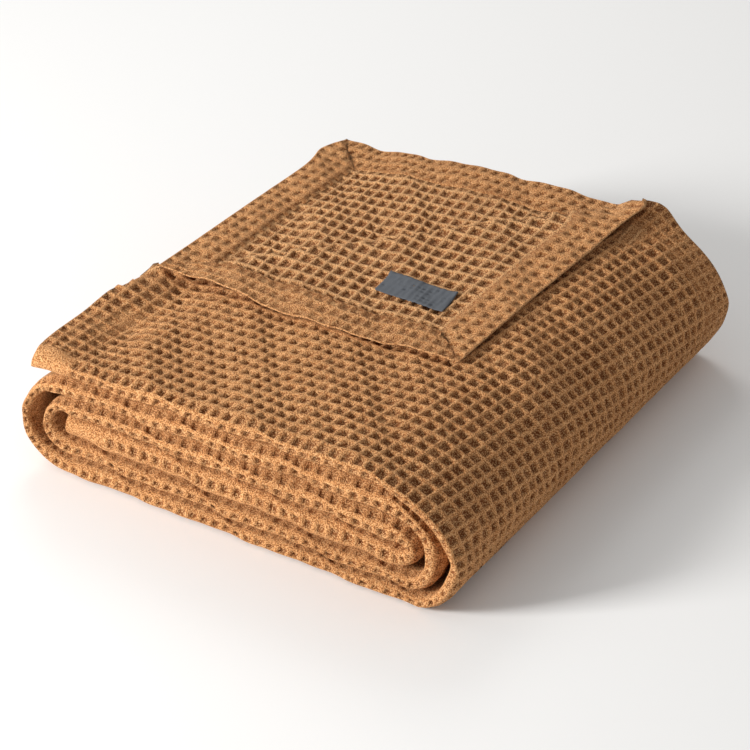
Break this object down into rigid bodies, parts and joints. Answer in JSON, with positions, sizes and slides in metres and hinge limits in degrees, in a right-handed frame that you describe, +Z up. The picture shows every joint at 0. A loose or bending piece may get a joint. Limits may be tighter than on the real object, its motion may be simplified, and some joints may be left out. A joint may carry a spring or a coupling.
{
  "type": "folded waffle weave blanket",
  "caption": "Waffle weave cotton blanket folded to a strip and wound flat, its top corner turned back to show the wrong side, with a woven label.",
  "frame": {"origin": "middle of the lowest face of the folded blanket's box", "axes": "+Z up, +Y from the near folded face to the far hems, +X from the strip's free end on the left to the large turn on the right"},
  "size_m": [0.3874, 0.4208, 0.1289],
  "materials": {
    "cotton_waffle": "matt waffle weave cotton, golden brown",
    "woven_label": "close woven polyester, charcoal grey, slight sheen"
  },
  "bodies": {
    "root": {"blanket": "cotton_waffle", "label": "woven_label"}
  },
  "joints": []
}
